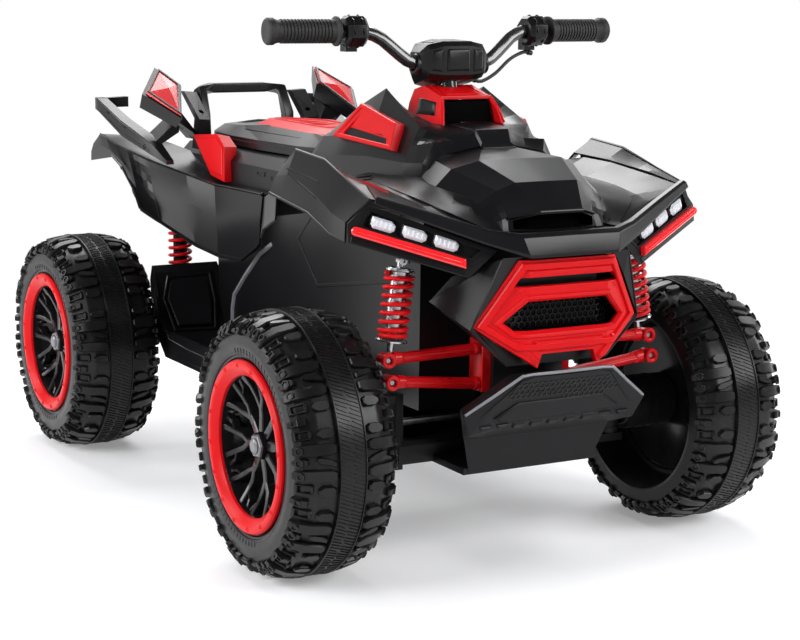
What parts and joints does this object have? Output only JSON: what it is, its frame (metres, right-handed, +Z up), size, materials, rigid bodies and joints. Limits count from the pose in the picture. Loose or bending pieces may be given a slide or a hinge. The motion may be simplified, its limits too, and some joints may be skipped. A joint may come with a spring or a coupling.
{
  "type": "electric ride-on car",
  "caption": "Battery ride-on toy in the form of a quad bike: steered front wheels, sprung rear axle, saddle seat, footwells, foot pedal and handlebar.",
  "frame": {"origin": "on the ground, midway between the wheels and midway along the length's middle line", "axes": "+Z up, the front faces -Y, +X is the rider's left"},
  "size_m": [0.691, 1.0704, 0.6569],
  "materials": {
    "body_plastic": "satin moulded black",
    "red_plastic": "glossy moulded red",
    "tread_plastic": "dark block tread",
    "rim_plastic": "black spokes, red bead ring",
    "frame_steel": "black powder coat",
    "bar_steel": "gloss black tube",
    "bright_steel": "bright zinc",
    "grip_rubber": "matt, ribbed",
    "lamp_plastic": "clear white lenses",
    "battery_plastic": "dark grey case",
    "gearbox_plastic": "dark grey case",
    "cable_rubber": "black sheath",
    "red_metal": "red powder coat"
  },
  "bodies": {
    "chassis": {"battery": "battery_plastic", "blade_lens_left": "red_plastic", "blade_lens_right": "red_plastic", "chassis_tub": "frame_steel", "front_arms": "red_metal", "front_bumper": "body_plastic", "front_damper_left": "bright_steel", "front_damper_right": "bright_steel", "front_fascia": "body_plastic", "front_fender_left": "body_plastic", "front_fender_right": "body_plastic", "front_spring_left": "red_metal", "front_spring_right": "red_metal", "grille_frame": "red_plastic", "headlamp_housing_left": "body_plastic", "headlamp_housing_right": "body_plastic", "headlamp_lens_left": "lamp_plastic", "headlamp_lens_right": "lamp_plastic", "hood": "body_plastic", "light_bar_left": "red_plastic", "light_bar_right": "red_plastic", "main_body": "body_plastic", "rear_bracket_left": "body_plastic", "rear_bracket_right": "body_plastic", "rear_fender_left": "body_plastic", "rear_fender_right": "body_plastic", "rear_handle": "body_plastic", "rear_spring_left": "red_metal", "rear_spring_right": "red_metal", "rear_trim_left": "red_plastic", "rear_trim_right": "red_plastic", "running_board_left": "body_plastic", "running_board_right": "body_plastic", "seat": "body_plastic", "seat_insert": "red_plastic", "steering_cowl": "red_plastic", "tank_vent_left": "red_plastic", "tank_vent_right": "red_plastic"},
    "steering": {"handlebar": "bar_steel", "bar_cover": "body_plastic", "grip_right": "grip_rubber", "grip_left": "grip_rubber", "switch_pod_right": "body_plastic", "switch_pod_left": "body_plastic", "throttle_cable": "cable_rubber"},
    "knuckle_right": {"knuckle_right": "frame_steel"},
    "knuckle_left": {"knuckle_left": "frame_steel"},
    "tie_rod": {"tie_rod": "bright_steel"},
    "swing_arm": {"rear_swing_arm": "frame_steel", "rear_gearbox": "gearbox_plastic"},
    "pedal": {"foot_pedal": "body_plastic"},
    "button": {"start_button": "red_plastic"},
    "front_right_wheel": {"front_right_tyre": "tread_plastic", "front_right_rim": "rim_plastic"},
    "front_left_wheel": {"front_left_tyre": "tread_plastic", "front_left_rim": "rim_plastic"},
    "rear_right_wheel": {"rear_right_tyre": "tread_plastic", "rear_right_rim": "rim_plastic"},
    "rear_left_wheel": {"rear_left_tyre": "tread_plastic", "rear_left_rim": "rim_plastic"}
  },
  "joints": [
    {"name": "steering", "type": "hinge", "parent": "chassis", "child": "steering", "pos_m": [0, -0.353, 0.165], "axis": [0, 0.2744, 0.9616], "range_deg": [-25, 25]},
    {"name": "kingpin_right", "type": "hinge", "parent": "chassis", "child": "knuckle_right", "pos_m": [-0.175, -0.36, 0.16], "axis": [0, 0, 1], "range_deg": [-19, 19]},
    {"name": "front_right_roll", "type": "hinge", "parent": "knuckle_right", "child": "front_right_wheel", "pos_m": [-0.2805, -0.36, 0.16], "axis": [1, 0, 0], "continuous": true},
    {"name": "rear_right_roll", "type": "hinge", "parent": "swing_arm", "child": "rear_right_wheel", "pos_m": [-0.2805, 0.36, 0.16], "axis": [1, 0, 0], "continuous": true},
    {"name": "kingpin_left", "type": "hinge", "parent": "chassis", "child": "knuckle_left", "pos_m": [0.175, -0.36, 0.16], "axis": [0, 0, 1], "range_deg": [-19, 19]},
    {"name": "front_left_roll", "type": "hinge", "parent": "knuckle_left", "child": "front_left_wheel", "pos_m": [0.2805, -0.36, 0.16], "axis": [1, 0, 0], "continuous": true},
    {"name": "rear_left_roll", "type": "hinge", "parent": "swing_arm", "child": "rear_left_wheel", "pos_m": [0.2805, 0.36, 0.16], "axis": [1, 0, 0], "continuous": true},
    {"name": "tie_rod_slide", "type": "slide", "parent": "chassis", "child": "tie_rod", "axis": [1, 0, 0], "range_m": [-0.0116, 0.0116]},
    {"name": "rear_suspension", "type": "hinge", "parent": "chassis", "child": "swing_arm", "pos_m": [0, 0.12, 0.16], "axis": [1, 0, 0], "range_deg": [-1, 3.5], "stiffness_Nm_per_rad": 200, "springref_deg": -4.01, "deforming": ["rear_spring_right", "rear_spring_left"]},
    {"name": "pedal_press", "type": "hinge", "parent": "chassis", "child": "pedal", "pos_m": [-0.15, -0.04, 0.172], "axis": [1, 0, 0], "range_deg": [0, 8], "stiffness_Nm_per_rad": 1.2, "springref_deg": -11.46},
    {"name": "button_press", "type": "slide", "parent": "steering", "child": "button", "axis": [0, -1, 0], "range_m": [0, 0.0025], "stiffness_N_per_m": 400, "springref_m": -0.002}
  ],
  "couplings": [
    {"joint": "kingpin_right", "follows": "steering", "ratio": 0.746},
    {"joint": "kingpin_left", "follows": "steering", "ratio": 0.746},
    {"joint": "tie_rod_slide", "follows": "steering", "m_per_rad": -0.0261}
  ]
}
